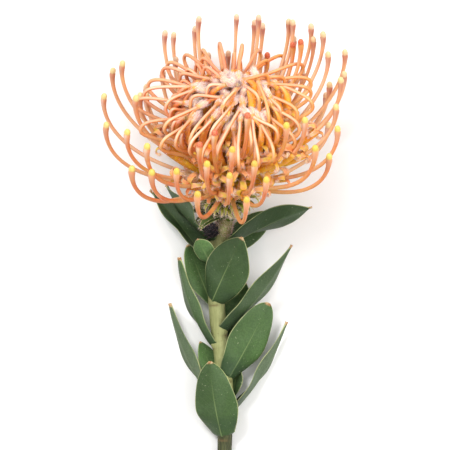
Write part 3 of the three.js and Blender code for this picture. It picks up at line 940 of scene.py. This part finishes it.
def make_bud():
    form = Form()
    turn = turn_about(0, 32) @ turn_about(2, 20)
    foot = np.array([-6.2, -19.6, -3.6])
    length, radius, scales, sides = 7.0, 2.8, 52, 20
    up = turn @ np.array([0.0, 1.0, 0.0])

    def girth(t):
        return radius * np.sqrt(np.clip(1 - ((t - 0.48) / 0.53) ** 2, 0.01, 1))

    t = np.linspace(0, 1, 20)
    form.tube(foot + np.outer(t * length, up), 0.93 * girth(t), sides, "bud", along=0.1)
    feet, ways = [], []
    for i in range(scales):
        share = (i + 0.5) / scales
        around = radians(GOLDEN_ANGLE * i)
        out = turn @ np.array([cos(around), 0, sin(around)])
        start = 0.86 * share
        slope = (girth(start + 0.04) - girth(start)) / (0.04 * length)
        place = foot + up * (start * length) + out * (0.88 * girth(start))
        rims, way = add_scale(form, "bud", place, unit(up + out * slope), unit(out - up * slope),
                              mixed(2.5, 1.8, share), width=2.0, spread=6, curl=draw(10, 50),
                              thickness=0.5)
        feet.append(rims[::4])
        ways.append(way[::4])
    feet = np.vstack(feet)
    form.hairs(feet, np.vstack(ways), draw(0.3, 0.7, len(feet)), 0.05, tone=0.3, tint=0.85)
    form.piece("axillary_bud_scales", "bud", "axillary_bud")


# ---------------------------------------------------------------- open florets


def turn_between(a, b):
    return atan2(sin(a - b), cos(a - b))


def spaced_feet(florets, fixed):
    """Where florets meet the receptacle: they crowd, so they space themselves out."""
    lowest, highest, rounds = 1.4, 13, 120
    feet = [list(foot) for foot in fixed]
    feet += [[radians(around), 1.6 + 0.25 * launch] for around, launch, _ in florets]
    for _ in range(rounds):
        for i in range(len(fixed), len(feet)):
            for j in range(i):
                across = turn_between(feet[i][0], feet[j][0]) * CONE_FOOT
                up = feet[i][1] - feet[j][1]
                apart = hypot(across, up)
                if apart >= STYLE_SPACING or apart == 0:
                    continue
                push = 0.5 * (STYLE_SPACING - apart) / apart
                feet[i][0] += push * across / CONE_FOOT
                feet[i][1] += push * up
                if j >= len(fixed):
                    feet[j][0] -= push * across / CONE_FOOT
                    feet[j][1] -= push * up
        for foot in feet[len(fixed):]:
            foot[1] = min(max(foot[1], lowest), highest)
    return feet[len(fixed):]


def style_points(floret, foot):
    """The style runs nearly straight out, then curves up; its tip swings round."""
    around, launch, length = floret
    start = radians(launch)
    u = np.arange(STYLE_STEPS + 1) / STYLE_STEPS
    angle = mixed(start, radians(STYLE_FINISH), np.maximum(u - 0.5 / STYLE_STEPS, 0) ** STYLE_BEND)
    step = length / STYLE_STEPS
    out = cone_radius(foot[1]) + GAP + STYLE_FOOT * abs(sin(start))
    out = out + summed(np.cos(angle[1:]) * step)
    height = foot[1] + summed(np.sin(angle[1:]) * step)
    turn = foot[0] + turn_between(radians(around), foot[0]) * smoothstep(u, 0, 0.5)
    points = np.stack([out * np.sin(turn), -out * np.cos(turn), height], axis=1) @ HEAD.T
    return pressed(points, style_radius(u * length, length))


# The four parts of a perianth that roll back: the way round the style from the inner side,
# width, radius of the roll, and turns.
CLAWS = [(0, 3.2, 2.2, 1.05), (62, 2.7, 2.0, 1.0), (-62, 2.7, 2.0, 1.0), (180, 2.0, 1.4, 0.9)]

# The presenter's outline: distance to the tip, and radius over that of the style.
PRESENTER = np.array([
    (0.0, 0.06), (0.1, 0.6), (0.35, 1.08), (0.75, 1.42), (1.2, 1.62), (1.7, 1.72), (2.2, 1.68),
    (2.5, 1.6), (2.8, 1.68), (3.3, 1.76), (3.9, 1.72), (4.8, 1.56), (6.0, 1.4), (7.5, 1.25),
    (10.0, 1.1), (13.0, 1.0),
])


def style_radius(run, length):
    shaft = mixed(STYLE_FOOT, STYLE_NECK, run / length)
    return shaft * np.interp(length - run, PRESENTER[:, 0], PRESENTER[:, 1])


def add_claw(form, start, along, away, radius, turns, width, tone, silk):
    """A rolled-back strip of the perianth with the hairy limb at its end."""
    steps, sides, hairs = 24, 8, 70
    share = np.linspace(0, 1, steps)
    roll = 2 * pi * turns * share ** 0.9
    size = radius * mixed(1.15, 0.6, share) * (2 * pi * turns / steps)
    level = unit(np.cross(along, away))
    ways = unit(swung(along, away, roll) + level * draw(-0.35, 0.35))
    path = start + np.cumsum(ways * size[:, None], axis=0)
    limb = np.exp(-((share - 0.84) / 0.1) ** 2)
    wide = 0.5 * width * (mixed(1.0, 0.5, smoothstep(share, 0.05, 0.6)) + 0.28 * limb)
    wide = wide * mixed(0.45, 1.0, smoothstep(share, 0, 0.14))
    wide = wide * np.sqrt(np.clip((1 - share) / 0.06, 0.02, 1))
    thick = (0.34 + 0.3 * limb) * np.sqrt(np.clip((1 - share) / 0.06, 0.05, 1))
    turn = ring_angles(sides)
    hollow = 0.2 * width * np.cos(turn) ** 2
    outward = thick[:, None] * np.sin(turn) + hollow
    rings = (
        path[:, None]
        + level * (wide[:, None] * np.cos(turn))[..., None]
        + np.cross(ways, level)[:, None] * outward[..., None]
    )
    rim = 0.7 * np.abs(np.cos(turn)) ** 3 * smoothstep(share, 0.1, 0.5)[:, None]
    inside = draw(0.0, 0.6) * smoothstep(share, 0.2, 0.7)[:, None]
    form.loft(rings, "perianth", along=mixed(draw(0.2, 0.6), 0.95, share), across=FAR,
              tone=tone, tint=draw(0.5, 1.2),
              edge=np.maximum(np.maximum(rim, inside), 0.8 * limb[:, None]))
    rows = (steps * draw(0.25, 1, hairs) ** 0.7).astype(int)
    roots = rings[rows, chance.integers(0, sides, hairs)]
    out = unit(roots - path[rows]) + 0.9 * ways[rows] + 0.3 * chance.normal(size=roots.shape)
    form.hairs(roots, out, draw(0.5, 1.3, hairs), tone=draw(0.2, 1, hairs), tint=silk)


def make_open_floret(index, floret, foot, *nodes):
    around, launch, length = floret
    form = Form()
    line = style_points(floret, foot)
    knob = PRESENTER[::-1, 0]
    shares = [np.linspace(0, 1 - knob[0] / length, 60), 1 - knob / length]
    shares = np.unique(np.concatenate([*shares, 1 - (knob[1:] + knob[:-1]) / 2 / length]))
    points = through(line, shares)
    run = shares * length
    behind = facing_share(around, 180)
    tone = bounded(0.1 + 0.75 * facing_share(around, 70) + draw(-0.2, 0.2))
    ripe = min(1.0, 0.4 + 0.62 * behind + draw(-0.05, 0.08))
    if floret in RED_TIPS:
        ripe = 0.0
    sides = 10
    stout = mixed(1.12, 0.94, behind) * draw(0.96, 1.05)
    # pale: a painted highlight on the side of the style that faces the light, and below 0 painted
    # shade on the side away from it
    lit = form.turned(points, sides, HEAD_AXIS)
    pale = draw(0.25, 0.75) * smoothstep(lit, 0.3, 1.0) - smoothstep(lit, 0.3, -0.5)
    form.tube(points, stout * style_radius(run, length), sides, "style", facing=HEAD_AXIS,
              along=shares * mixed(1.0, 0.8, behind), across=length - run, tone=tone, tint=ripe,
              edge=pale)

    sideways = sin(radians(around)) ** 2 * smoothstep(launch, 8, 20)
    sheath = mixed(5.5, 27, smoothstep(launch, 0, 36)) + 8 * sideways
    sheath = sheath * draw(0.85, 1.15)
    stations, sides, hairs = 20, 12, 90
    at = np.linspace(0.4, sheath, stations)
    tube = through(line, at / length)
    girth = np.interp(at, [0, 0.3 * sheath, sheath - 1.5, sheath], [0.95, 1.45, 1.7, 1.75])
    form.tube(tube, girth, sides, "perianth", facing=HEAD_AXIS,
              along=np.linspace(0.02, 0.5, stations), across=FAR, tone=tone)
    rows = chance.integers(4, stations, hairs)
    form.silk_round(tube, girth, HEAD_AXIS, rows, lean=1.2, longest=1.6, tones=(0.2, 0.9),
                    thickness=0.055)
    dark = 0.4 * (chance.random() < 0.12)
    size = mixed(0.66, 1.0, smoothstep(launch, 2, 20))
    ahead, across, other = (ways[-1] for ways in carried(tube, HEAD_AXIS))
    for swing, width, radius, turns in CLAWS:
        away = swung(across, other, radians(swing + draw(-22, 22)))
        add_claw(form, tube[-1] + away * 1.2 - ahead * 0.5, ahead, away,
                 size * radius * draw(0.8, 1.2), turns * draw(0.65, 1.15),
                 size * width, bounded(tone + draw(-0.1, 0.5)), dark)
    form.piece(f"open_floret_{index:02d}", "style", *nodes)


# ---------------------------------------------------------------- closed florets


def add_limb(form, start, way, length, radius, tone, silk):
    """The silky end of a perianth, which holds the style's tip."""
    stations, sides, hairs = 16, 12, 210
    share = np.linspace(0, 1, stations)
    outline = [0.8, 1.0, 1.12, 1.0, 0.7, 0.06]
    girth = radius * np.interp(share, [0, 0.2, 0.5, 0.75, 0.92, 1], outline)
    line = start + np.outer(share * length, way)
    _, across, other = carried(line, UP)
    pale = bounded(draw(0.35, 0.8) * smoothstep(share, 0.05, 0.5) - 1.2 * silk)
    form.tube(line, girth, sides, "perianth", along=mixed(0.8, 1.0, share), across=FAR,
              tone=tone, edge=pale)
    at = draw(0.05, 1, hairs) ** 0.8
    out = swung(across[0], other[0], draw(0, 2 * pi, hairs))
    roots = start + np.outer(at * length, way) + out * np.interp(at, share, girth)[:, None]
    ways = way + mixed(0.12, 0.34, at)[:, None] * out + 0.1 * chance.normal(size=out.shape)
    lengths = draw(1.0, 2.8, hairs) * mixed(1.1, 0.8, at)
    rosy = draw(0.0, 0.5)
    shade = bounded(silk * at * 1.6) * draw(0.5, 1, hairs)
    form.hairs(roots, ways, lengths, 0.1, tone=draw(rosy, 1, hairs),
               tint=np.maximum(shade, 0.1 * (chance.random(hairs) < 0.2)))


def add_perianth_tube(form, foot, launch, start, way, tone, curls=0):
    """The fleshy tube from the receptacle to the limb, slit along its outer side. curls: how
    many of its parts have come loose and rolled back."""
    stations, sides, hairs = 30, 14, 150
    span = np.linalg.norm(start - foot)
    bulge = head_direction(draw(0, 360), 0) * span * 0.06
    path = bezier(foot, foot + launch * span * 0.62 + bulge, start - way * span * 0.3, start, 50)
    path = evenly(path, stations)
    share = np.linspace(0, 1, stations)
    sway = np.sin(2 * pi * (draw(0.8, 1.6) * share + chance.random()))
    sway = draw(0.5, 1.6) * sway * np.sin(pi * share)
    path = path + np.outer(sway, unit(np.cross(launch, HEAD_AXIS + 0.01)))
    outline = draw(0.8, 1.15) * np.array([0.9, 1.5, 2.0, 1.85, 1.2, 0.95])
    girth = np.interp(share, [0, 0.15, 0.4, 0.65, 0.9, 1], outline)
    for folds, depth in ((3.1, 0.09), (7.3, 0.06)):
        girth = girth * (1 + depth * np.sin(2 * pi * (folds * share + chance.random())))
    slit = np.full((stations, sides), FAR)
    slit[:, 0] = 0
    # rib: a painted highlight along the side of the tube that faces the light, stronger towards the
    # limb
    rib = 0.3 * smoothstep(form.turned(path, sides, launch), 0.75, 1.0) * share[:, None]
    form.tube(path, girth, sides, "perianth", facing=launch, flat=0.86,
              shape=lambda turn: 1 + 0.06 * np.cos(4 * turn), along=mixed(0.05, 0.82, share ** 1.3),
              across=slit, tone=tone, edge=rib)
    rows = (stations * draw(0.15, 1, hairs) ** 0.7).astype(int)
    form.silk_round(path, 0.92 * girth, launch, rows, lean=1.9, longest=1.7, tones=(0, 0.65))
    outward = square_to(HEAD_AXIS, launch)
    tangents = carried(path, launch)[0]
    for row in chance.integers(*CURL_ROWS, curls):
        away = outward + 0.6 * draw(-1, 1) * np.cross(outward, HEAD_AXIS)
        away = square_to(tangents[row], away)
        add_claw(form, path[row] + away * girth[row] * 0.5, unit(tangents[row] + 0.8 * away), away,
                 draw(1.5, 2.4), draw(0.8, 1.25), width=2.6, tone=1.0, silk=0)


def make_closed_floret(index, row, *nodes):
    around, reach, rise, *limb_place = row
    stations, sides = 64, 10
    form = Form()
    foot_height = np.clip(CLOSED_FEET[0] + 1.1 * (rise - 37), *CLOSED_FEET)
    foot = head_point(around, cone_radius(foot_height) + GAP, foot_height)
    peak = head_point(around, reach, rise)
    limb = head_point(*limb_place)
    launch = head_direction(around, 38)
    span = np.linalg.norm(peak - foot)
    lift = 5.5 * (HEAD_AXIS * 0.95 - head_direction(around, 0) * 0.1)
    back = limb - peak
    way = unit(unit(back) * 0.9 - HEAD_AXIS * 0.15)
    first = bezier(foot, foot + launch * span * 0.55, peak - lift, peak, 40)
    second = bezier(peak, peak + lift, limb - way * np.linalg.norm(back) * 0.55, limb, 40)
    path = evenly(np.vstack([first, second[1:]]), stations)
    share = np.linspace(0, 1, stations)
    sway = np.sin(2 * pi * (1.3 * share + chance.random())) * np.sin(pi * share)
    path = path + np.outer(draw(0.2, 1.1) * sway, unit(np.cross(back, HEAD_AXIS)))
    right, front = facing_share(around, 70), facing_share(around, -15)
    tone = bounded(right + draw(-0.25, 0.2))
    # pale: a painted highlight on the side of the style that faces the light, stronger on the front
    # and towards the limb, and below 0 painted shade on the side away from it
    lit = form.turned(path, sides, HEAD_AXIS)
    pale = mixed(0.35, 0.85, front) * mixed(0.4, 1.0, smoothstep(share, 0.4, 0.8))[:, None]
    pale = draw(0.5, 1.1) * pale * smoothstep(lit, 0.2, 1.0) - smoothstep(lit, 0.4, -0.4)
    form.tube(path, mixed(0.84, 0.72, share), sides, "style", facing=HEAD_AXIS,
              along=mixed(0.05, 0.8, share), across=FAR_FROM_TIP, tone=tone, edge=pale)
    silk = 0.85 if index in DARK_TIPS else 0.0
    add_limb(form, limb - way * 0.6, way, length=6.4, radius=1.3, tone=tone, silk=silk)
    bowed = head_direction(around, mixed(20, 50, smoothstep(rise, 42, 52)))
    curls = int(chance.integers(2, 5)) if front > 0.35 and right > 0.3 else 0
    add_perianth_tube(form, foot, bowed, limb, way, tone, curls)
    form.piece(f"closed_floret_{index + 1:02d}", "perianth", *nodes)


def make_young_florets():
    """The youngest, at the very top: straight, short, and silky at their tips."""
    form = Form()
    buds, widest = 13, 5.2
    for i in range(buds):
        around = GOLDEN_ANGLE * i + 40
        spread = widest * sqrt((i + 0.3) / buds)
        foot = head_point(around, 0.55 * CONE_TOP * spread / widest, CONE_HEIGHT - 0.5)
        start = head_point(around, spread, 51.5 - 0.5 * spread + draw(-2.5, 1.5))
        way = unit(head_direction(around, 70) + 0.2 * chance.normal(size=3))
        tone = draw(0.1, 0.6)
        add_perianth_tube(form, foot, HEAD_AXIS, start, way, tone)
        add_limb(form, start, way, length=5.5, radius=1.1, tone=tone,
                 silk=chance.choice([0.0, 0.15, 0.5]))
    form.piece("young_florets", "perianth")


# ---------------------------------------------------------------- putting it together

set_up_view()
add_floor()
light_studio()

SKINS = {
    "style": style_skin(), "perianth": perianth_skin(), "silk": silk_skin(), "leaf": leaf_skin(),
    "down": down_skin(), "stem": stem_skin(), "cut": cut_skin(), "bract": bract_skin(),
    "bud": bud_skin(),
}
make_stem()
make_involucre()
make_bud()
for i, leaf in enumerate(LEAVES):
    make_leaf(i, leaf)
feet = spaced_feet(OPEN_FLORETS, [])
for i, (floret, foot) in enumerate(zip(OPEN_FLORETS, feet), 1):
    make_open_floret(i, floret, foot, f"floret_{i:02d}")
more_feet = spaced_feet(MORE_FLORETS, feet)
for i, (floret, foot) in enumerate(zip(MORE_FLORETS, more_feet), len(OPEN_FLORETS) + 1):
    make_open_floret(i, floret, foot)
for i, closed in enumerate(CLOSED_FLORETS):
    make_closed_floret(i, closed, *(["inner_florets"] if i == 0 else []))
make_young_florets()
